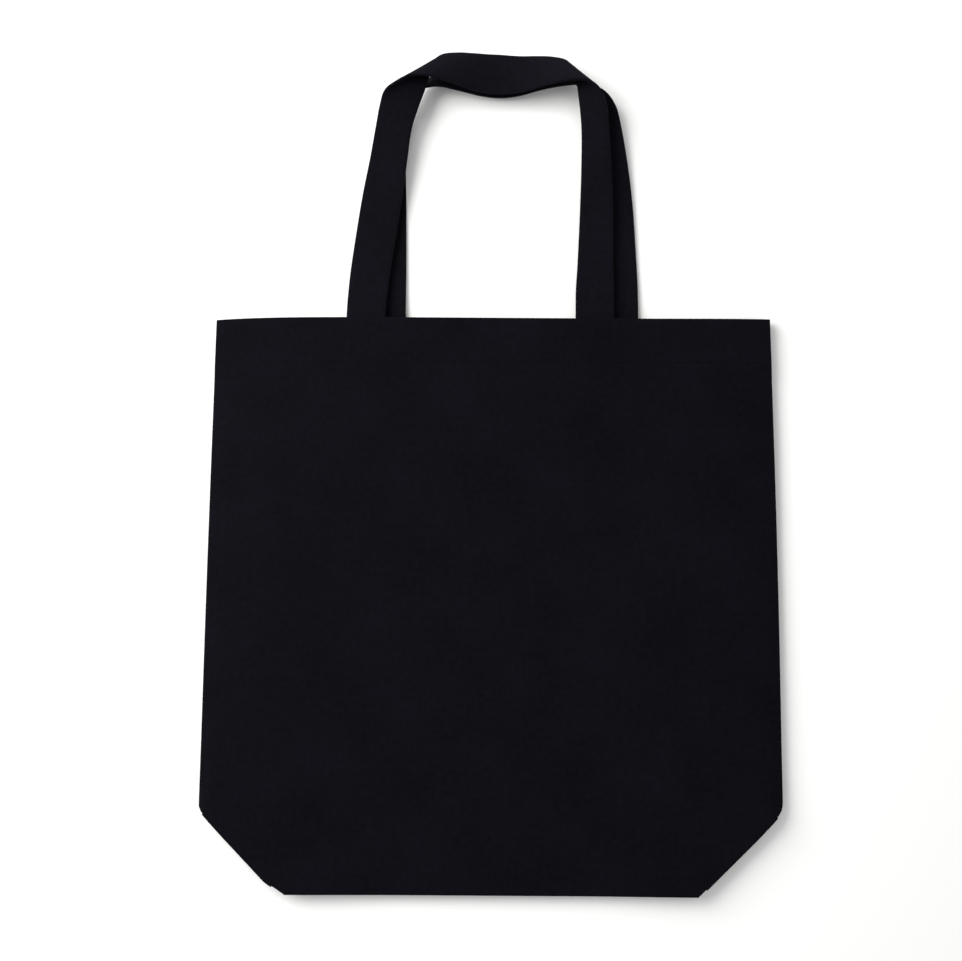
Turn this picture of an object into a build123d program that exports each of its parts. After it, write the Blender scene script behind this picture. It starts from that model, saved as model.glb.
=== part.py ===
from build123d import *
import os
from math import cos, radians, sin, sqrt

# A soft canvas tote bag with a boxed bottom and two strap handles, lying on its back.
# Millimetres. X runs across the bag, +Y runs from its bottom fold to its mouth, +Z is up
# from the table. The origin is the middle of the bottom fold, on the table.
#
# The bag is two cloths, front and back, sewn along the sides and along the middle of the
# base. Each cloth is divided at its fold lines into flat panels. Empty and flat, the side
# gussets fold out sideways, and the base folds up between the front and the back.

# Driving dimensions
bag_width = 360.0
bag_height = 362.0
gusset_depth = 100.0
cloth = 0.8
rest_gap = 8.0
hem_depth = 32.0
strap_width = 25.0
strap_thickness = 1.6
handle_height = 174.0
handle_spacing = 150.0
handle_top_spacing = 120.0
handle_end_length = 30.0
handle_tilt_deg = 5.0

# Clearances
half_layer_gap = 0.15
fold_gap = 0.3
seam_gap = 0.2
hem_fold_gap = 0.9
hem_seam_gap = 11.0
bottom_gap = 0.3

# Seams and threads
seam_width = 3.0
thread = 0.35
stitch_inset = 3.0
box_stitch_height = 22.0

# Where each handle's middle lies, and how far its top leans to the right of its feet
handle_offset = {"front": -8.0, "back": 6.0}
handle_lean = {"front": 6.0, "back": 0.0}
handle_corner_radius = 34.0
handle_hinge_gap = 6.0
handle_end_setback = 3.2
handle_foot_gap = 0.3

# Worked-out places
half_depth = gusset_depth / 2
fold_x = bag_width / 2 - half_depth
rest_fold_sine = rest_gap / gusset_depth
rest_fold_deg = Vector(sqrt(1 - rest_fold_sine**2), rest_fold_sine, 0).get_angle(Vector(1, 0, 0))
back_axis_z = cloth + half_layer_gap
front_axis_z = back_axis_z + rest_gap
middle_z = (back_axis_z + front_axis_z) / 2
seam_x = fold_x + half_depth * cos(radians(rest_fold_deg))
base_hinge_y = cloth / 2
base_hinge_z = back_axis_z + half_layer_gap + cloth / 2
base_reach = back_axis_z + half_depth - base_hinge_z - half_layer_gap
back_strap_z = 2 * cloth + strap_thickness / 2
front_strap_z = 2 * middle_z - back_strap_z
handle_hinge_y = bag_height + handle_hinge_gap


def block(x_range, y_range, z_range):
    """A plain box between the given lowest and highest values."""
    size = [high - low for low, high in (x_range, y_range, z_range)]
    middle = [(high + low) / 2 for low, high in (x_range, y_range, z_range)]
    return Pos(*middle) * Box(*size)


def slab(outline, low, high):
    """A flat sheet with the given outline in X and Y, between two heights."""
    face = make_face(Polyline(*outline, close=True))
    return Pos(0, 0, low) * extrude(face, amount=high - low, dir=(0, 0, 1))


def on_front(piece):
    """The front cloth's copy of a piece of the back cloth."""
    return mirror(piece, about=Plane.XY.offset(middle_z))


def on_left(piece):
    """The left side's copy of a piece on the right side."""
    return mirror(piece, about=Plane.YZ)


def on_back_gusset(piece):
    """Stand a piece drawn flat beside the right fold line on the resting gusset.

    Drawn flat, X is the distance from the fold line and Z is 0 on the plane of the folds.
    """
    return Pos(fold_x, 0, back_axis_z) * Rot(0, -rest_fold_deg, 0) * piece


def body_panel():
    """The back cloth between its two side fold lines."""
    return block((-fold_x, fold_x), (0, bag_height), (0, cloth))


def panel_hem():
    """The mouth hem's turning, inside the panel."""
    half = fold_x - hem_fold_gap
    return block((-half, half), (bag_height - hem_depth, bag_height), (cloth, 2 * cloth))


def panel_hem_stitching(side):
    """The row of thread that holds the hem, seen between the handle's ends."""
    half = fold_x - hem_fold_gap
    row = bag_height - hem_depth + stitch_inset
    stitches = block((-half, half), (row, row + thread), (2 * cloth, 2 * cloth + thread))
    for foot in (-1, 1):
        stitches -= handle_end(side, back_strap_z, foot)
    return stitches


def gusset():
    """The back half of the right gusset, above the slanting fold at its foot."""
    inner = fold_gap
    outer = half_depth - seam_gap - seam_width
    outline = [
        (inner, inner + 2 * fold_gap),
        (outer, outer + 2 * fold_gap),
        (outer, bag_height),
        (inner, bag_height),
    ]
    return on_back_gusset(slab(outline, -half_layer_gap - cloth, -half_layer_gap))


def side_seam():
    """The sewn edge where the back half of the gusset meets the front half."""
    outer = half_depth - seam_gap
    inner = outer - seam_width
    outline = [
        (inner, inner + 2 * fold_gap),
        (outer, outer + 2 * fold_gap),
        (outer, bag_height),
        (inner, bag_height),
    ]
    return on_back_gusset(slab(outline, -half_layer_gap - cloth, -half_layer_gap))


def gusset_hem():
    """The mouth hem's turning, inside the gusset."""
    x_range = (hem_fold_gap, half_depth - hem_seam_gap)
    y_range = (bag_height - hem_depth, bag_height)
    return on_back_gusset(block(x_range, y_range, (-half_layer_gap, cloth - half_layer_gap)))


def tuck():
    """The gusset's foot, folded up inside along the slanting fold.

    It is drawn by its distance along the slanting fold and away from it. It is cut short
    of the base and of the side seam, where the real cloth bends as the bag opens.
    """
    along_and_away = [(2.0, 0.6), (47.0, 0.6), (53.0, 6.5), (40.0, 18.0)]
    outline = [((a - b) / sqrt(2), (a + b) / sqrt(2)) for a, b in along_and_away]
    return on_back_gusset(slab(outline, half_layer_gap, half_layer_gap + cloth))


def base_half():
    """The back half of the base, folded up inside against the back panel."""
    half = fold_x - bottom_gap - seam_width
    y_range = (base_hinge_y + bottom_gap, base_hinge_y + base_reach - seam_width)
    return block((-half, half), y_range, (base_hinge_z - cloth / 2, base_hinge_z + cloth / 2))


def base_seam():
    """The seam along the middle of the base, on the back half's free edge."""
    half = fold_x - bottom_gap - seam_width
    outer = base_hinge_y + base_reach
    y_range = (outer - seam_width, outer)
    return block((-half, half), y_range, (base_hinge_z - cloth / 2, base_hinge_z + cloth / 2))


def corner_seams():
    """The two short seams at the ends of a base half."""
    outer = fold_x - bottom_gap
    y_range = (base_hinge_y + bottom_gap, base_hinge_y + base_reach)
    z_range = (base_hinge_z - cloth / 2, base_hinge_z + cloth / 2)
    right = block((outer - seam_width, outer), y_range, z_range)
    return Compound([right.solid(), on_left(right).solid()])


def handle_end(side, strap_z, foot):
    """One sewn-down end of a handle, from inside the hem to just past the rim."""
    middle = handle_offset[side] + foot * handle_spacing / 2
    x_range = (middle - strap_width / 2, middle + strap_width / 2)
    y_range = (bag_height - handle_end_length, handle_hinge_y - handle_end_setback)
    z_range = (strap_z - strap_thickness / 2, strap_z + strap_thickness / 2)
    return block(x_range, y_range, z_range)


def box_stitching(side, z_range):
    """A rectangle of thread with a cross in it, on both ends of a handle."""
    groups = []
    width = strap_width - 2 * stitch_inset
    for foot in (-1, 1):
        middle = handle_offset[side] + foot * handle_spacing / 2
        centre_y = bag_height - handle_end_length + stitch_inset + box_stitch_height / 2
        frame = Rectangle(width, box_stitch_height)
        frame -= Rectangle(width - 2 * thread, box_stitch_height - 2 * thread)
        diagonal = sqrt(width**2 + box_stitch_height**2) - thread
        slope = Vector(width, box_stitch_height, 0).get_angle(Vector(1, 0, 0))
        drawing = frame
        for turn in (slope, -slope):
            drawing += Rot(0, 0, turn) * Rectangle(diagonal, thread)
        low, high = z_range
        placed = Pos(middle, centre_y, low) * extrude(drawing, amount=high - low, dir=(0, 0, 1))
        groups.append(placed.solid())
    return Compound(groups)


def handle_loop(side, strap_z):
    """The free loop of a handle, one flat strap from foot to foot."""
    middle = handle_offset[side]
    top_middle = middle + handle_lean[side]
    foot = handle_spacing / 2
    top = handle_top_spacing / 2
    reach = handle_height - handle_hinge_gap - strap_width / 2
    route = FilletPolyline(
        (middle - foot, 0),
        (top_middle - top, reach),
        (top_middle + top, reach),
        (middle + foot, 0),
        radius=handle_corner_radius,
    )
    strap = extrude(trace(route, strap_width), amount=strap_thickness / 2, both=True)
    # The feet of the slanting legs are cut square, clear of the sewn-down ends.
    below = Pos(0, -strap_width, 0) * Box(2 * bag_width, 2 * strap_width, strap_width)
    strap -= Pos(0, handle_foot_gap, 0) * below
    return Pos(0, handle_hinge_y, strap_z) * Rot(handle_tilt_deg, 0, 0) * strap


def all_nodes():
    """Every node of the bag, by name."""
    nodes = {"back_panel": body_panel(), "front_panel": on_front(body_panel())}
    nodes["back_hem"] = panel_hem()
    nodes["front_hem"] = on_front(panel_hem())
    nodes["back_hem_stitching"] = panel_hem_stitching("back")
    nodes["front_hem_stitching"] = on_front(panel_hem_stitching("front"))

    for name, piece in (("gusset", gusset()), ("gusset_hem", gusset_hem()), ("tuck", tuck())):
        nodes[f"right_back_{name}"] = piece
        nodes[f"left_back_{name}"] = on_left(piece)
        nodes[f"right_front_{name}"] = on_front(piece)
        nodes[f"left_front_{name}"] = on_front(on_left(piece))
    nodes["right_side_seam"] = side_seam()
    nodes["left_side_seam"] = on_left(side_seam())

    nodes["base_back_half"] = base_half()
    nodes["base_front_half"] = on_front(base_half())
    nodes["base_seam"] = base_seam()
    nodes["base_back_corner_seams"] = corner_seams()
    nodes["base_front_corner_seams"] = on_front(corner_seams())

    back_thread = (back_strap_z + strap_thickness / 2, back_strap_z + strap_thickness / 2 + thread)
    front_thread = (2 * middle_z - back_thread[1], 2 * middle_z - back_thread[0])
    for side, strap_z, z_range in (
        ("back", back_strap_z, back_thread),
        ("front", front_strap_z, front_thread),
    ):
        nodes[f"{side}_handle_left_end"] = handle_end(side, strap_z, -1)
        nodes[f"{side}_handle_right_end"] = handle_end(side, strap_z, 1)
        nodes[f"{side}_handle_stitching"] = box_stitching(side, z_range)
        nodes[f"{side}_handle"] = handle_loop(side, strap_z)
    return nodes


os.makedirs("parts", exist_ok=True)
for node_name, node_shape in all_nodes().items():
    export_step(node_shape, f"parts/{node_name}.step")
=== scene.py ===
# %% [markdown]
# # A black canvas tote bag, lying flat and empty
# The bag is cotton canvas with two strap handles. Every fabric piece here is made over the CAD bag, which
# is kept hidden: some new pieces ride on the CAD bodies, and the rest stay where they are laid.
# Lengths are in metres, and the millimetre is named so that sewing sizes read as a sewer would say them.

# %% Load the CAD bag
import math

import bmesh
import bpy
from mathutils import Matrix, Vector


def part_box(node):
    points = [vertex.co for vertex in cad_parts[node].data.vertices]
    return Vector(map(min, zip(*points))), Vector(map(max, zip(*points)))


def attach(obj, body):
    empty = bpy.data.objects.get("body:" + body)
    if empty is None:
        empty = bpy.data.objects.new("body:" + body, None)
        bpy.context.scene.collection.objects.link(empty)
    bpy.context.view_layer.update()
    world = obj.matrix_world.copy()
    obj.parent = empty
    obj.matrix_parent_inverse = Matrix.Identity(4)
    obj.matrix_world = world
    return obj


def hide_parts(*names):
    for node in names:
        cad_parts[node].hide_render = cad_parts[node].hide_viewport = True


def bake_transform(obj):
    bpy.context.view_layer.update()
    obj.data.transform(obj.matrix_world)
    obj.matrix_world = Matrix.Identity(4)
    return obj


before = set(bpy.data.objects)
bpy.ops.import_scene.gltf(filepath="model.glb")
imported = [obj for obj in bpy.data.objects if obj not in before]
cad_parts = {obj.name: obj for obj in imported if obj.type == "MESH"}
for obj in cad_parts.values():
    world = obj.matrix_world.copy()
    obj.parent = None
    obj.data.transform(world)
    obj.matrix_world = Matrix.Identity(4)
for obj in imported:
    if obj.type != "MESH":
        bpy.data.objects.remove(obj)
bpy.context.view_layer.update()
MM = 0.001

# %% Sizes of the bag
BAG_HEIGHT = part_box("back_panel")[1].y
BAG_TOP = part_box("front_panel")[1].z
MID_Z = BAG_TOP / 2
CLOTH = 0.8 * MM
HALF_WIDTH = 180.0 * MM
GUSSET = 50.0 * MM
FOLD_X = HALF_WIDTH - GUSSET
HEM_DEPTH = 32.0 * MM
HEM_ROLL = 0.43 * MM
FOLD_ROLL = 0.55 * MM
ROLL_STEPS = 6
print("bag height", round(BAG_HEIGHT / MM, 1), "mm, thickness", round(BAG_TOP / MM, 1), "mm")

# %% [markdown]
# ## Small helpers
# One function turns a hex colour to linear light, one adds a shader node with its settings and links, and one
# puts a finished bmesh into the scene as a named piece. Three more say how far along a stretch a value is, as
# a plain or an eased share, and mix two values by a share: that is how cloth goes from one level to another.

# %% Helpers for nodes, colours, pieces and easing
def hex_colour(code):
    channels = [int(code[i:i + 2], 16) / 255 for i in (1, 3, 5)]
    linear = [c / 12.92 if c <= 0.04045 else ((c + 0.055) / 1.055) ** 2.4 for c in channels]
    return (*linear, 1.0)


def add_node(tree, kind, settings=(), inputs=(), links=()):
    node = tree.nodes.new(kind)
    for name, value in dict(settings).items():
        setattr(node, name, value)
    for socket, value in dict(inputs).items():
        node.inputs[socket].default_value = value
    for socket, source in dict(links).items():
        tree.links.new(source, node.inputs[socket])
    return node


def finished_piece(name, shape, material):
    mesh = bpy.data.meshes.new(name)
    shape.to_mesh(mesh)
    shape.free()
    mesh.materials.append(material)
    piece = bpy.data.objects.new(name, mesh)
    bpy.context.scene.collection.objects.link(piece)
    return piece


def share_along(value, start, end):
    return min(1.0, max(0.0, (value - start) / (end - start)))


def ease(value, start, end):
    t = share_along(value, start, end)
    return t * t * (3 - 2 * t)


def mix(a, b, share):
    return a + (b - a) * share


print("half way up an eased step:", ease(0.5, 0.0, 1.0), "and a quarter of the way:", ease(0.25, 0.0, 1.0))

# %% [markdown]
# ## Cotton canvas
# The bag is plain-woven cotton canvas, dyed black: one thread over, one thread under. An image texture could
# show a plain weave, but a few sums draw it sharply at any size. They read the piece's own UV map, which is
# its flat pattern in metres. The real threads are about 0.6 mm by 0.9 mm apart. That is too fine to show, so
# the weave is drawn one and a half to two times as coarse. Dyed cotton is matt, with a faint cool sheen from
# the fibre ends.

# %% A woven cotton material
def woven_cotton(name, colour, worn_colour, warp_pitch, weft_pitch, relief, sheen):
    material = bpy.data.materials.new(name)
    material.use_nodes = True
    tree = material.node_tree
    tree.nodes.clear()
    output = add_node(tree, "ShaderNodeOutputMaterial")
    uv = add_node(tree, "ShaderNodeUVMap", settings={"uv_map": "pattern"})
    split = add_node(tree, "ShaderNodeSeparateXYZ", links={0: uv.outputs["UV"]})

    def calculate(operation, *values):
        node = add_node(tree, "ShaderNodeMath", settings={"operation": operation})
        for socket, value in enumerate(values):
            if isinstance(value, float):
                node.inputs[socket].default_value = value
            else:
                tree.links.new(value, node.inputs[socket])
        return node.outputs[0]

    def threads(along, across, shift):
        number = calculate("FLOOR", along)
        rounded = calculate("ABSOLUTE", calculate("SINE", calculate("MULTIPLY", along, math.pi)))
        turn = calculate("MULTIPLY", calculate("ADD", calculate("ADD", across, number), shift), math.pi)
        over = calculate("MULTIPLY_ADD", calculate("SINE", turn), 0.5, 0.5)
        return calculate("MULTIPLY", rounded, over)

    warp = calculate("DIVIDE", split.outputs["X"], warp_pitch)
    weft = calculate("DIVIDE", split.outputs["Y"], weft_pitch)
    height = calculate("MAXIMUM", threads(warp, weft, 0.0), threads(weft, warp, 1.0))

    slubs = add_node(
        tree, "ShaderNodeTexNoise",
        inputs={"Scale": 260.0, "Detail": 4.0, "Roughness": 0.6}, links={"Vector": uv.outputs["UV"]},
    )
    wear = add_node(
        tree, "ShaderNodeTexNoise",
        inputs={"Scale": 22.0, "Detail": 3.0, "Roughness": 0.55}, links={"Vector": uv.outputs["UV"]},
    )
    lightness = calculate("MULTIPLY", calculate("ADD", slubs.outputs["Fac"], wear.outputs["Fac"]), 0.5)
    spread = add_node(
        tree, "ShaderNodeMapRange",
        inputs={"From Min": 0.35, "From Max": 0.68}, links={"Value": lightness},
    )
    tint = add_node(
        tree, "ShaderNodeMix", settings={"data_type": "RGBA"},
        inputs={6: hex_colour(colour), 7: hex_colour(worn_colour)}, links={0: spread.outputs[0]},
    )
    thick_thin = calculate("ADD", height, calculate("MULTIPLY", slubs.outputs["Fac"], 0.6))
    bump = add_node(
        tree, "ShaderNodeBump", inputs={"Strength": 0.55, "Distance": relief}, links={"Height": thick_thin},
    )
    shader = add_node(
        tree, "ShaderNodeBsdfPrincipled",
        inputs={
            "Roughness": 0.82, "IOR": 1.47, "Specular IOR Level": 0.05,
            "Sheen Weight": sheen, "Sheen Roughness": 0.45, "Sheen Tint": hex_colour("#8f8dc4"),
        },
        links={"Base Color": tint.outputs[2], "Normal": bump.outputs[0]},
    )
    tree.links.new(shader.outputs[0], output.inputs["Surface"])
    return material


canvas = woven_cotton(
    "black plain-woven cotton canvas", colour="#060509", worn_colour="#0c0b12",
    warp_pitch=1.15 * MM, weft_pitch=1.4 * MM, relief=0.20 * MM, sheen=0.03,
)
webbing = woven_cotton(
    "black folded canvas strap", colour="#07060a", worn_colour="#0e0d14",
    warp_pitch=1.0 * MM, weft_pitch=1.2 * MM, relief=0.22 * MM, sheen=0.03,
)
print("materials:", canvas.name, "and", webbing.name)

# %% [markdown]
# ## Sewing thread
# The thread is twisted polyester-cotton, black, and slightly smoother than the cloth, so it catches a
# little more light. It is too thin to show its twist, so the material stays plain.

# %% A sewing thread material
def sewing_thread(name, colour):
    material = bpy.data.materials.new(name)
    material.use_nodes = True
    shader = material.node_tree.nodes["Principled BSDF"]
    shader.inputs["Base Color"].default_value = hex_colour(colour)
    shader.inputs["Roughness"].default_value = 0.6
    shader.inputs["IOR"].default_value = 1.5
    shader.inputs["Specular IOR Level"].default_value = 0.05
    return material


thread = sewing_thread("black twisted sewing thread", "#070609")
print("material:", thread.name)

# %% [markdown]
# ## Making a sheet of cloth
# A sheet starts as a flat grid. Each row and column is laid at its place on the bag, its flat pattern is
# kept as a UV map in metres, and then the sheet gets its thickness. Solidify could stay live, but it is
# applied, so that faces can be shaded smooth and only edges sharper than 40 degrees stay crisp.

# %% A sheet from rows and columns
CRISP_ANGLE = math.radians(40)


def lay_sheet(name, columns, rows, place, thickness, material):
    shape = bmesh.new()
    bmesh.ops.create_grid(shape, x_segments=columns, y_segments=rows, size=0.5)
    pattern = shape.loops.layers.uv.new("pattern")
    laid = {}
    for corner in shape.verts:
        column = round((corner.co.x + 0.5) * columns)
        row = round((corner.co.y + 0.5) * rows)
        point, flat = place(column, row)
        corner.co = point
        laid[corner] = flat
    for face in shape.faces:
        for loop in face.loops:
            loop[pattern].uv = laid[loop.vert]
    sheet = finished_piece(name, shape, material)
    solid = sheet.modifiers.new("thickness", "SOLIDIFY")
    solid.thickness = thickness
    solid.offset = 0.0
    solid.use_even_offset = True
    keep_applied(sheet)
    return sheet


def shade_cloth(mesh):
    for polygon in mesh.polygons:
        polygon.use_smooth = True
    mesh.set_sharp_from_angle(angle=CRISP_ANGLE)


def keep_applied(piece):
    graph = bpy.context.evaluated_depsgraph_get()
    final = bpy.data.meshes.new_from_object(
        piece.evaluated_get(graph), preserve_all_data_layers=True, depsgraph=graph,
    )
    piece.modifiers.clear()
    piece.data = final
    final.name = piece.name
    shade_cloth(final)


print("a sheet is", CLOTH / MM, "mm thick")

# %% [markdown]
# ## How the empty bag lies
# The front and back cloth meet at the side seams, half way up, and part within a few centimetres. The back
# lies on the table. The front sinks a little between the stiff hem and the folded corners, and keeps soft
# diagonal waves from having been folded. A cloth simulation could find such a lie, but the bag lies flat and
# still, so one outline function and one height function give it, and hems, stitches and folds follow both.

# %% The outline of the front and back cloth
# A slanting corner is pulled in from a true 45 degrees, by one length at its foot and another at its top.
# Its foot is pulled in a little more on the front, and lies a little higher on the back.
SIDES = {"left": -1.0, "right": 1.0}
FACES = {"back": -1.0, "front": 1.0}
CORNER_SOFTNESS = {"left": 0.7 * MM, "right": 1.7 * MM}
CORNER_PULL_AT_FOOT = {"left": 0.6 * MM, "right": 4.1 * MM}
CORNER_PULL_AT_TOP = {"left": 0.6 * MM, "right": 1.3 * MM}
FRONT_TIP_PULL = {"left": 4.0 * MM, "right": 0.0}
BACK_TIP_LIFT = 3.2 * MM
SIDE_BOW = {"left": 0.4 * MM, "right": 0.9 * MM}
RIM_DROOP = {"left": 2.2 * MM, "right": -0.7 * MM}


def tip_pull(face, side):
    return FRONT_TIP_PULL[side] if face == "front" else 0.0


def half_width_at(face, side, y):
    soft = CORNER_SOFTNESS[side]
    tip = tip_pull(face, side) * (1 - ease(y, 0.0, 9 * MM))
    pull = mix(CORNER_PULL_AT_FOOT[side], CORNER_PULL_AT_TOP[side], share_along(y, 0.0, GUSSET))
    diagonal = FOLD_X - pull - tip + y
    slanting = math.exp((HALF_WIDTH - diagonal) / soft) if y < 2 * GUSSET else 0.0
    bow = SIDE_BOW[side] * (1 - math.sin(math.pi * share_along(y, GUSSET, BAG_HEIGHT)))
    return HALF_WIDTH - bow * ease(y, 0.6 * GUSSET, GUSSET) - soft * math.log(1.0 + slanting)


def tip_lift(face, x, y):
    if face == "front":
        return 0.0
    return BACK_TIP_LIFT * ease(abs(x), 112 * MM, 131 * MM) * (1 - ease(y, 1 * MM, 18 * MM))


foot_width = sum(half_width_at("front", side, 0.0) for side in SIDES)
print("at the foot the front is", round(foot_width / MM), "mm wide")

# %% The height of the front and back cloth
# The seam edge is a small quarter-round shoulder, thicker at the hem, where the cloth is double. From the
# shoulder the two cloths part to the bag's full thickness. The half thickness is the same for both.
SEAM_HALF = 0.45 * MM
HEM_SEAM_HALF = 1.35 * MM
SHOULDER_HEIGHT = 0.55 * MM
SHOULDER_WIDTH = 1.3 * MM


def half_thickness(x, y):
    from_seam = math.hypot(max(0.0, HALF_WIDTH - abs(x)), max(0.0, GUSSET - y))
    reach = mix(3.5 * MM, 21.0 * MM, ease(y, 52 * MM, 120 * MM))
    full = MID_Z - CLOTH / 2
    hem_end = BAG_HEIGHT - HEM_DEPTH
    at_edge = mix(SEAM_HALF, HEM_SEAM_HALF, ease(y, hem_end - 10 * MM, hem_end))
    rounding = math.sqrt(1 - (1 - min(1.0, from_seam / SHOULDER_WIDTH)) ** 2)
    shoulder = at_edge + SHOULDER_HEIGHT * rounding
    return shoulder + (full - at_edge - SHOULDER_HEIGHT) * (1 - math.exp(-from_seam / reach))


def front_sag(x, y):
    along = mix(2.4 * MM, 2.9 * MM, ease(y, 60 * MM, 180 * MM))
    along = mix(along, 0.5 * MM, ease(y, 230 * MM, 330 * MM))
    spread = mix(104 * MM, 128 * MM, ease(y, 50 * MM, 140 * MM))
    return along * (1 - ease(abs(x), spread - 50 * MM, spread + 22 * MM))


def front_waves(x, y):
    # Three slow waves cross each other, in millimetres, and calm down near the folds and the hem.
    slant = x * 0.55 + y
    cross = x - 0.35 * y
    wave = 0.42 * math.sin(slant / (31 * MM) + 0.8) * math.sin(cross / (74 * MM) + 0.4)
    wave += 0.30 * math.sin((x - 0.9 * y) / (43 * MM) + 2.1)
    wave += 0.16 * math.sin((x * 1.4 + y * 0.3) / (17 * MM)) * math.sin(y / (52 * MM))
    calm = ease(HALF_WIDTH - abs(x), 4 * MM, 34 * MM)
    calm *= ease(y, 2 * MM, 36 * MM)
    calm *= ease(BAG_HEIGHT - y, 2 * MM, 44 * MM)
    return wave * calm * MM


def folded_level(face):
    # The level of cloth that is folded in flat, right under the outer layer.
    return MID_Z + FACES[face] * (MID_Z - CLOTH / 2 - 2 * FOLD_ROLL)


def cloth_height(face, x, y):
    half = half_thickness(x, y)
    if face == "back":
        return MID_Z - half
    return MID_Z + half - front_sag(x, y) + front_waves(x, y)


print("front cloth is", round(cloth_height("front", 0, 0.18) / MM, 1), "mm above the table in the middle")

# %% [markdown]
# ## Front and back cloth
# Each side of the bag is one cloth with its mouth turned in by a hem. It could be one piece, but it is made
# as a left and a right half. The rows run up the cloth, round the rim in a small roll and down inside as
# the hem.

# %% Rows from the bottom fold to the end of the hem
# A row is a height on the bag and how far it lies inwards of the cloth's outer layer.
BOTTOM_Y = FOLD_ROLL + CLOTH / 2
CLOTH_STEPS = 120
HEM_STEPS = 10


def cloth_rows():
    rows = []
    straight = BAG_HEIGHT - HEM_ROLL - CLOTH / 2
    for step in range(CLOTH_STEPS + 1):
        rows.append((mix(BOTTOM_Y, straight, step / CLOTH_STEPS), 0.0))
    for step in range(1, ROLL_STEPS + 1):
        turn = math.pi * step / ROLL_STEPS
        rows.append((straight + HEM_ROLL * math.sin(turn), HEM_ROLL * (1 - math.cos(turn))))
    for step in range(1, HEM_STEPS + 1):
        rows.append((straight - HEM_DEPTH * step / HEM_STEPS, 2 * HEM_ROLL))
    return rows


def lengths_along(rows):
    lengths = [0.0]
    for (y0, in0), (y1, in1) in zip(rows, rows[1:]):
        lengths.append(lengths[-1] + math.hypot(y1 - y0, in1 - in0))
    return lengths


ROWS = cloth_rows()
ROW_LENGTHS = lengths_along(ROWS)
COLUMNS = 60
print("cloth is cut", round(ROW_LENGTHS[-1] / MM), "mm long, hem included")

# %% One half of a cloth
def rim_droop(side, x, y):
    return RIM_DROOP[side] * (abs(x) / HALF_WIDTH) ** 4 * ease(y, BAG_HEIGHT - 90 * MM, BAG_HEIGHT)


def cloth_point(face, side, across, y, inward):
    x = SIDES[side] * across * half_width_at(face, side, y)
    height = cloth_height(face, x, y) - FACES[face] * inward
    return Vector((x, y - rim_droop(side, x, y) + tip_lift(face, x, y), height))


def cloth_half(face, side):
    def place(column, row):
        share = column / COLUMNS if side == "right" else 1 - column / COLUMNS
        across = 1 - (1 - share) ** 1.5
        y, inward = ROWS[row]
        point = cloth_point(face, side, across, y, inward)
        return point, (point.x, ROW_LENGTHS[row])

    return lay_sheet(f"{face}_cloth_{side}", COLUMNS, len(ROWS) - 1, place, CLOTH, canvas)


cloths = {(face, side): cloth_half(face, side) for face in FACES for side in SIDES}
print("made", ", ".join(piece.name for piece in cloths.values()))


def bend_at_gusset(piece):
    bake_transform(piece)


for (face, side), piece in cloths.items():
    bend_at_gusset(piece)
    gusset = f"{side}_{face}_gusset"
    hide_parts(f"{face}_panel", f"{face}_hem", gusset, f"{gusset}_hem")

# %% [markdown]
# ## Base and corner tucks
# The bottom of the bag folds up inside as two half bases that meet in a seam. Each corner folds in as a
# triangle. They could be left out, because nothing shows them while the bag is flat, but they close the bag
# when it stands open. Each starts with a small roll at its fold, so the fold looks like bent cloth. A tuck
# turns over by half a turn, too far for one cloth to bend between two bodies, so its roll stays on the gusset
# as a piece of its own.

# %% The two halves of the base
BASE_DEPTH = GUSSET - 0.6 * MM
BASE_COLUMNS = 72
BASE_STEPS = 20
BASE_SEAM_HALF = 0.55 * MM


def base_rows():
    rows = []
    for step in range(ROLL_STEPS + 1):
        turn = math.pi * step / ROLL_STEPS
        rows.append((-FOLD_ROLL * math.sin(turn), FOLD_ROLL * (1 - math.cos(turn))))
    for step in range(1, BASE_STEPS + 1):
        rows.append((BASE_DEPTH * step / BASE_STEPS, 2 * FOLD_ROLL))
    return rows


def base_half(face):
    rows = base_rows()
    lengths = lengths_along(rows)

    def place(column, row):
        share = 2 * column / BASE_COLUMNS - 1
        out, inward = rows[row]
        y = BOTTOM_Y + out
        side = "left" if share < 0 else "right"
        x = share * min(FOLD_X - 0.5 * MM, half_width_at(face, side, y) - 0.2 * MM)
        edge = cloth_height(face, x, BOTTOM_Y)
        near_seam = MID_Z + FACES[face] * BASE_SEAM_HALF
        seam_level = mix(near_seam, folded_level(face), ease(abs(x), 92 * MM, FOLD_X))
        rise = ease(out, 0.0, BASE_DEPTH)
        level = mix(edge - FACES[face] * inward, seam_level, rise)
        return Vector((x, y + tip_lift(face, x, y), level)), (x, -lengths[row])

    return lay_sheet(f"{face}_base_half", BASE_COLUMNS, len(rows) - 1, place, CLOTH, canvas)


for face in FACES:
    base = base_half(face)
    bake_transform(base)
    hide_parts(f"base_{face}_half")
    print("made", base.name)

# %% The four corner tucks
# A tuck is laid by how far along its fold a point is, and how far away from the fold. It starts where the
# outline has passed the gusset's fold, because any cloth short of that would stick out of the open bag.
TUCK_ALONG = GUSSET * math.sqrt(2)
TUCK_COLUMNS = 28
TUCK_ROWS = 12


def fold_line(face, side, along):
    y = along / math.sqrt(2)
    x = half_width_at(face, side, y)
    return Vector((x, y + tip_lift(face, x, y), 0))


def tuck_start(face, side):
    return (CORNER_PULL_AT_FOOT[side] + tip_pull(face, side)) * math.sqrt(2) + 1 * MM


def tuck_depth(face, side, along):
    room = (fold_line(face, side, along).x - FOLD_X - 0.3 * MM) * math.sqrt(2)
    return max(0.4 * MM, min(room, TUCK_ALONG - along - 0.6 * MM))


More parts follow.
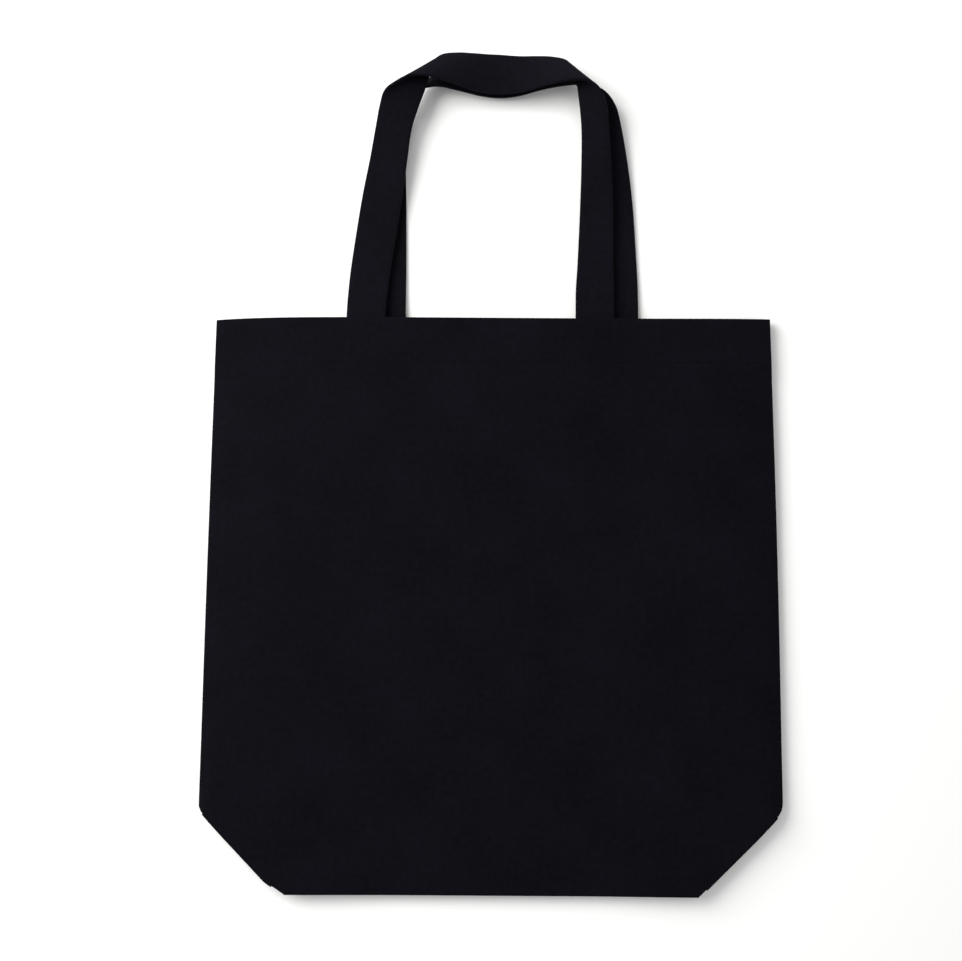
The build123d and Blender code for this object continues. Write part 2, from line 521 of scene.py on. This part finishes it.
def tuck_point(face, side, along, away):
    line = fold_line(face, side, along)
    return Vector((SIDES[side] * (line.x - away / math.sqrt(2)), line.y + away / math.sqrt(2), 0))


def tuck(face, side):
    def place(column, row):
        along = mix(tuck_start(face, side), TUCK_ALONG - 2.5 * MM, column / TUCK_COLUMNS)
        away = 0.1 * MM + tuck_depth(face, side, along) * row / TUCK_ROWS
        point = tuck_point(face, side, along, away)
        point.z = folded_level(face)
        return point, (along, -away)

    return lay_sheet(f"{side}_{face}_tuck_cloth", TUCK_COLUMNS, TUCK_ROWS, place, CLOTH, canvas)


def tuck_fold(face, side):
    def place(column, row):
        along = mix(tuck_start(face, side), TUCK_ALONG - 3.0 * MM, column / TUCK_COLUMNS)
        turn = math.pi * row / ROLL_STEPS
        line = fold_line(face, side, along)
        point = tuck_point(face, side, along, -FOLD_ROLL * math.sin(turn))
        point.z = cloth_height(face, line.x, line.y) - FACES[face] * FOLD_ROLL * (1 - math.cos(turn))
        return point, (along, FOLD_ROLL * turn)

    return lay_sheet(f"{side}_{face}_tuck_fold", TUCK_COLUMNS, ROLL_STEPS, place, CLOTH, canvas)


for face in FACES:
    for side in SIDES:
        gusset = f"{side}_{face}_gusset"
        fold = tuck_fold(face, side)
        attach(fold, gusset)
        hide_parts(gusset)
        piece = tuck(face, side)
        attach(piece, f"{side}_{face}_tuck")
        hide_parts(f"{side}_{face}_tuck")
        print("made", piece.name)

# %% [markdown]
# ## Seams
# Inside the bag the raw edges of the side seams, of the base seam and of the corners are bound in a narrow
# strip. A strip could be laid as a sheet, but it is straight and hidden, so a long box with softened edges,
# stretched from one end of the seam to the other, is enough.

# %% A binding strip
def seam_strip(name, start, end, width, thickness, across):
    shape = bmesh.new()
    bmesh.ops.create_cube(shape, size=1.0)
    run = end - start
    bmesh.ops.scale(shape, vec=(width, run.length, thickness), verts=shape.verts)
    bmesh.ops.bevel(
        shape, geom=shape.edges[:], offset=thickness * 0.3, segments=2, profile=0.5, affect="EDGES",
        material=-1,
    )
    along = run.normalized()
    up = across.cross(along)
    turn = Matrix((across, along, up)).transposed().to_4x4()
    bmesh.ops.transform(shape, matrix=Matrix.Translation((start + end) / 2) @ turn, verts=shape.verts)
    pattern = shape.loops.layers.uv.new("pattern")
    for face in shape.faces:
        for loop in face.loops:
            loop[pattern].uv = (loop.vert.co.x, loop.vert.co.y + loop.vert.co.z)
    strip = finished_piece(name, shape, canvas)
    shade_cloth(strip.data)
    return strip


ACROSS_BAG = Vector((1, 0, 0))
UP_BAG = Vector((0, 1, 0))
print("a strip's width lies along", tuple(ACROSS_BAG), "or", tuple(UP_BAG))

# %% The side seams' bindings
SEAM_WIDTH = 3.0 * MM
SEAM_THICKNESS = 0.9 * MM
for side, sign in SIDES.items():
    x = sign * (HALF_WIDTH - 0.5 * MM - SEAM_WIDTH / 2)
    foot = Vector((x, GUSSET + 4 * MM, MID_Z))
    top = Vector((x, BAG_HEIGHT - HEM_DEPTH - 0.5 * MM, MID_Z))
    seam = seam_strip(f"{side}_side_seam_binding", foot, top, SEAM_WIDTH, SEAM_THICKNESS, ACROSS_BAG)
    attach(seam, f"{side}_back_gusset")
    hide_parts(f"{side}_side_seam")
print("side seams are bound", SEAM_WIDTH / MM, "mm wide")

# %% The base seam's binding and the corners' bindings
BASE_SEAM_END = 88 * MM
BASE_SEAM_Y = GUSSET - 2.2 * MM
BASE_SEAM_Z = MID_Z - 0.2 * MM
BASE_SEAM_THICKNESS = 0.5 * MM
base_seam = seam_strip(
    "base_seam_binding", Vector((-BASE_SEAM_END, BASE_SEAM_Y, BASE_SEAM_Z)),
    Vector((BASE_SEAM_END, BASE_SEAM_Y, BASE_SEAM_Z)), SEAM_WIDTH * 0.7, BASE_SEAM_THICKNESS, UP_BAG,
)
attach(base_seam, "base_back")
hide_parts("base_seam")

CORNER_SEAM_X = FOLD_X - 1.6 * MM
CORNER_SEAM_WIDTH = 2.0 * MM
CORNER_SEAM_THICKNESS = 0.6 * MM
for face, outwards in FACES.items():
    for side, sign in SIDES.items():
        level = MID_Z + outwards * (MID_Z - CLOTH - 2 * FOLD_ROLL - 0.35 * MM)
        foot = Vector((sign * CORNER_SEAM_X, 6 * MM, level))
        top = Vector((sign * CORNER_SEAM_X, GUSSET - 3 * MM, level))
        corner = seam_strip(
            f"{side}_{face}_corner_binding", foot, top, CORNER_SEAM_WIDTH, CORNER_SEAM_THICKNESS, ACROSS_BAG,
        )
        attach(corner, f"base_{face}")
        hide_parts(f"base_{face}_corner_seams")
print("corners are bound", CORNER_SEAM_WIDTH / MM, "mm wide")

# %% [markdown]
# ## Strap handles
# Each handle is one flat strap of folded canvas, 25 mm wide, sewn inside the mouth at both ends. A flat strap
# can't turn a corner in its own plane. Lying down, it rolls over at each top corner: the outer edge of the
# leg goes up and over and becomes the lower edge of the top. A strip along one curve could not show that, so
# a handle is laid by its two edges: stations give the place of the leg's outer edge and of its inner edge in
# millimetres, and a smooth curve joins them.

# %% Stations of the back handle, from the left foot to the right foot
BACK_STATIONS = [
    ((-82.0, 332, 2.45), (-57.0, 332, 2.45)),
    ((-82.3, 348, 2.45), (-57.2, 348, 2.45)),
    ((-82.6, 364, 2.45), (-57.4, 364, 2.4)),
    ((-82.8, 382, 2.1), (-57.5, 382, 1.9)),
    ((-82.8, 401, 1.6), (-57.6, 401, 1.5)),
    ((-82.5, 441, 1.8), (-58.2, 441, 1.4)),
    ((-80.0, 470, 2.8), (-58.8, 466, 1.5)),
    ((-76.0, 489, 4.6), (-57.8, 487, 2.0)),
    ((-71.8, 500, 7.4), (-55.4, 503, 2.8)),
    ((-66.0, 506, 10.6), (-51.6, 515, 3.4)),
    ((-59.0, 511, 12.4), (-45.5, 526, 3.4)),
    ((-50.0, 516, 13.4), (-35.5, 534.5, 3.2)),
    ((-38.0, 518.5, 12.6), (-23.0, 538.5, 3.4)),
    ((-25.0, 517, 10.0), (-12.0, 539, 4.0)),
    ((-10.0, 514.5, 7.2), (-4.0, 538.5, 5.0)),
    ((3.0, 513.5, 6.0), (3.0, 538.5, 5.4)),
    ((16.0, 514.5, 7.2), (11.0, 538.5, 5.0)),
    ((29.0, 517, 10.4), (18.0, 538.5, 4.0)),
    ((42.0, 519, 12.8), (28.0, 538, 3.4)),
    ((54.5, 520.0, 13.6), (40.0, 537, 3.2)),
    ((64.5, 519.0, 13.4), (48.5, 532, 3.4)),
    ((73.2, 515.2, 12.6), (54.0, 525, 3.4)),
    ((79.6, 507.5, 10.6), (59.2, 513, 2.8)),
    ((83.4, 496, 7.6), (61.6, 498, 2.0)),
    ((87.8, 472, 4.2), (64.0, 474, 1.6)),
    ((91.4, 441, 2.2), (66.8, 443, 1.4)),
    ((93.6, 401, 1.6), (68.6, 402, 1.5)),
    ((94.2, 382, 2.1), (69.2, 382, 1.9)),
    ((94.2, 364, 2.45), (69.2, 364, 2.4)),
    ((93.6, 348, 2.45), (68.6, 348, 2.45)),
    ((93.6, 332, 2.45), (68.6, 332, 2.45)),
]
print("back handle:", len(BACK_STATIONS), "stations")

# %% Stations of the front handle, which lies over the back one
FRONT_STATIONS = [
    ((-95.0, 332, 7.35), (-70.0, 332, 7.35)),
    ((-95.2, 348, 7.35), (-70.2, 348, 7.35)),
    ((-95.4, 364, 7.2), (-70.4, 364, 7.1)),
    ((-94.5, 382, 6.6), (-69.0, 382, 6.2)),
    ((-92.7, 401, 6.2), (-66.8, 400, 5.6)),
    ((-87.2, 441, 7.4), (-61.4, 437, 6.6)),
    ((-81.9, 470, 9.6), (-58.0, 465, 9.4)),
    ((-78.3, 491, 12.6), (-54.9, 488, 12.4)),
    ((-76.0, 503, 16.0), (-50.4, 503, 14.2)),
    ((-73.0, 511.5, 19.6), (-45.6, 517, 14.4)),
    ((-66.6, 515.8, 22.4), (-41.6, 531.5, 13.2)),
    ((-56.0, 520.8, 23.4), (-35.5, 541.0, 10.8)),
    ((-42.8, 521.2, 22.0), (-25.0, 543.2, 9.6)),
    ((-29.0, 518.4, 18.4), (-15.0, 542.8, 9.8)),
    ((-12.0, 514.6, 13.8), (-5.0, 541.9, 10.4)),
    ((3.0, 513.6, 12.2), (3.0, 541.4, 10.8)),
    ((17.0, 514.2, 13.8), (10.0, 541.0, 10.4)),
    ((29.4, 516.2, 17.6), (18.0, 540.8, 9.8)),
    ((42.4, 518.0, 21.2), (27.5, 541.0, 9.6)),
    ((53.2, 519.0, 23.0), (38.5, 540.2, 10.4)),
    ((63.0, 517.4, 23.0), (47.5, 536.6, 12.2)),
    ((70.0, 511.6, 20.6), (52.8, 525.6, 13.8)),
    ((73.6, 503, 17.4), (55.2, 511, 13.8)),
    ((75.2, 491, 13.8), (57.0, 491, 12.0)),
    ((76.8, 470, 10.2), (57.2, 469, 9.0)),
    ((78.0, 441, 7.6), (56.4, 439, 6.6)),
    ((78.0, 401, 6.2), (54.6, 400, 5.6)),
    ((78.1, 382, 6.6), (53.4, 382, 6.2)),
    ((78.1, 364, 7.2), (53.1, 364, 7.1)),
    ((78.1, 348, 7.35), (53.1, 348, 7.35)),
    ((78.1, 332, 7.35), (53.1, 332, 7.35)),
]
print("front handle:", len(FRONT_STATIONS), "stations")

# %% A strap's two smooth edges
STEPS_BETWEEN = 7


def smooth_curve(points):
    ends = [points[0] * 2 - points[1], *points, points[-1] * 2 - points[-2]]
    curve = []
    for p0, p1, p2, p3 in zip(ends, ends[1:], ends[2:], ends[3:]):
        for step in range(STEPS_BETWEEN):
            t = step / STEPS_BETWEEN
            bend = (p0 * 2 - p1 * 5 + p2 * 4 - p3) * t * t + (p1 * 3 - p0 - p2 * 3 + p3) * t ** 3
            curve.append(p1 + ((p2 - p0) * t + bend) / 2)
    return [*curve, points[-1]]


def strap_edges(stations):
    outer = smooth_curve([Vector(edges[0]) * MM for edges in stations])
    inner = smooth_curve([Vector(edges[1]) * MM for edges in stations])
    return outer, inner


def strap_lengths(outer, inner):
    middles = [(a + b) / 2 for a, b in zip(outer, inner)]
    lengths = [0.0]
    for first, second in zip(middles, middles[1:]):
        lengths.append(lengths[-1] + (second - first).length)
    return lengths


print("a strap has", STEPS_BETWEEN, "rows between two stations")

# %% Laying the straps
STRAP_WIDTH = 25.0 * MM
STRAP_THICKNESS = 1.6 * MM
STRAP_COLUMNS = 8


def strap(name, stations):
    outer, inner = strap_edges(stations)
    lengths = strap_lengths(outer, inner)

    def place(column, row):
        share = column / STRAP_COLUMNS
        return outer[row].lerp(inner[row], share), (share * STRAP_WIDTH, lengths[row])

    piece = lay_sheet(name, STRAP_COLUMNS, len(outer) - 1, place, STRAP_THICKNESS, webbing)
    edge = piece.modifiers.new("soft edges", "BEVEL")
    edge.width = 0.45 * MM
    edge.segments = 2
    edge.limit_method = "ANGLE"
    edge.angle_limit = math.radians(60)
    keep_applied(piece)
    return piece, lengths[-1]


HANDLES = {"back": BACK_STATIONS, "front": FRONT_STATIONS}
for face, stations in HANDLES.items():
    piece, length = strap(f"{face}_strap", stations)
    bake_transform(piece)
    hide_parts(f"{face}_handle", f"{face}_handle_left_end", f"{face}_handle_right_end")
    print(piece.name, "is", round(length / MM), "mm long")

# %% [markdown]
# ## Stitches
# A lockstitch row is short lengths of thread with tiny gaps between them. A stitch could be a round thread,
# but there are hundreds and each shows less than a millimetre wide, so each is a small box on the cloth.

# %% A row of stitches
STITCH = 2.6 * MM
STITCH_STEP = 3.2 * MM
THREAD_WIDTH = 0.4 * MM


def add_stitch(shape, start, end):
    along = (end - start).normalized()
    side = Vector((0, 0, 1)).cross(along).normalized()
    up = side.cross(along)
    turn = Matrix((side, along, up)).transposed().to_4x4()
    size = Matrix.Diagonal((THREAD_WIDTH, (end - start).length, THREAD_WIDTH * 0.6, 1.0))
    place = Matrix.Translation((start + end) / 2) @ turn @ size
    bmesh.ops.create_cube(shape, size=1.0, matrix=place)


def stitch_line(shape, start, end, lay):
    run = end - start
    count = max(1, int(run.length / STITCH_STEP))
    for number in range(count):
        first = start + run * (number / count)
        last = first + run.normalized() * STITCH
        add_stitch(shape, lay(first.x, first.y), lay(last.x, last.y))


def outer_face(face, side):
    def lay(x, y):
        level = cloth_height(face, x, y) + FACES[face] * (CLOTH / 2 + THREAD_WIDTH * 0.1)
        return Vector((x, y - rim_droop(side, x, y), level))

    return lay


print("stitches are", STITCH / MM, "mm long")

# %% Hem stitching
HEM_ROW = BAG_HEIGHT - HEM_DEPTH + 3 * MM
for face in FACES:
    for side, sign in SIDES.items():
        shape = bmesh.new()
        start = Vector((sign * 1.6 * MM, HEM_ROW, 0))
        end = Vector((sign * (HALF_WIDTH - 4 * MM), HEM_ROW, 0))
        stitch_line(shape, start, end, outer_face(face, side))
        piece = finished_piece(f"{face}_hem_stitches_{side}", shape, thread)
        bend_at_gusset(piece)
        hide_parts(f"{face}_hem_stitching")
print("hem stitches run", round((BAG_HEIGHT - HEM_ROW) / MM), "mm below the rim")

# %% Box-and-cross stitching over the handle ends
BOX_INSET = 3.0 * MM
BOX_HEIGHT = 22.0 * MM
BOX_TOP = BAG_HEIGHT - 5.0 * MM


def box_and_cross(shape, middle_x, lay):
    half = STRAP_WIDTH / 2 - BOX_INSET
    low_left = Vector((middle_x - half, BOX_TOP - BOX_HEIGHT, 0))
    low_right = Vector((middle_x + half, BOX_TOP - BOX_HEIGHT, 0))
    high_left = Vector((middle_x - half, BOX_TOP, 0))
    high_right = Vector((middle_x + half, BOX_TOP, 0))
    corners = (low_left, low_right, high_right, high_left)
    for start, end in zip(corners, (*corners[1:], low_left)):
        stitch_line(shape, start, end, lay)
    stitch_line(shape, low_left, high_right, lay)
    stitch_line(shape, low_right, high_left, lay)


for face, stations in HANDLES.items():
    shape = bmesh.new()
    for foot in (stations[0], stations[-1]):
        middle_x = (foot[0][0] + foot[1][0]) / 2 * MM
        side = "left" if middle_x < 0 else "right"
        box_and_cross(shape, middle_x, outer_face(face, side))
    piece = finished_piece(f"{face}_handle_stitches", shape, thread)
    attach(piece, face)
    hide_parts(f"{face}_handle_stitching")
    print("made", piece.name)

# %% [markdown]
# ## Floor, light and camera
# The bag lies on a plain white table under soft light. A sun would give hard shadows, so a large square lamp
# up to the left gives the faint soft one, and a white surround fills it. The camera looks down from over the
# bag's lower half, tilted a little towards the handles.

# %% The table
def floor_material(colour):
    material = bpy.data.materials.new("matt white table")
    material.use_nodes = True
    shader = material.node_tree.nodes["Principled BSDF"]
    shader.inputs["Base Color"].default_value = hex_colour(colour)
    shader.inputs["Roughness"].default_value = 0.9
    shader.inputs["Specular IOR Level"].default_value = 0.2
    return material


TABLE_HALF = 12.0
shape = bmesh.new()
bmesh.ops.create_grid(shape, x_segments=1, y_segments=1, size=TABLE_HALF)
floor = finished_piece("table", shape, floor_material("#f7f6f3"))
print("table is", 2 * TABLE_HALF, "m wide")

# %% Soft light
def soft_lamp(name, place, target, size, power):
    lamp = bpy.data.lights.new(name, "AREA")
    lamp.shape = "SQUARE"
    lamp.size = size
    lamp.energy = power
    holder = bpy.data.objects.new(name, lamp)
    holder.location = place
    holder.rotation_euler = (Vector(target) - Vector(place)).to_track_quat("-Z", "Y").to_euler()
    bpy.context.scene.collection.objects.link(holder)


soft_lamp("window_light", place=(-0.9, 0.72, 0.78), target=(0, 0.25, 0), size=1.1, power=23)
world = bpy.data.worlds.new("white room")
world.use_nodes = True
surround = world.node_tree.nodes["Background"]
surround.inputs["Color"].default_value = hex_colour("#f4f5f8")
surround.inputs["Strength"].default_value = 0.72
bpy.context.scene.world = world
bpy.context.scene.view_settings.view_transform = "Standard"
print("one window light and a white room")

# %% Camera
CAMERA_PLACE = Vector((-0.0076, 0.1301, 0.8456))
CAMERA_TILT = math.radians(8.51)
CAMERA_ROLL = math.radians(0.38)
camera_data = bpy.data.cameras.new("camera")
camera_data.sensor_width = 36
camera_data.lens = 49.81
camera = bpy.data.objects.new("camera", camera_data)
level_right = Vector((1, 0, 0))
level_up = Vector((0, math.cos(CAMERA_TILT), math.sin(CAMERA_TILT)))
right = level_right * math.cos(CAMERA_ROLL) + level_up * math.sin(CAMERA_ROLL)
up = level_up * math.cos(CAMERA_ROLL) - level_right * math.sin(CAMERA_ROLL)
turn = Matrix((right, up, right.cross(up))).transposed().to_4x4()
camera.matrix_world = Matrix.Translation(CAMERA_PLACE) @ turn
bpy.context.scene.collection.objects.link(camera)
bpy.context.scene.camera = camera
print("camera is", round(CAMERA_PLACE.z / MM), "mm above the table")
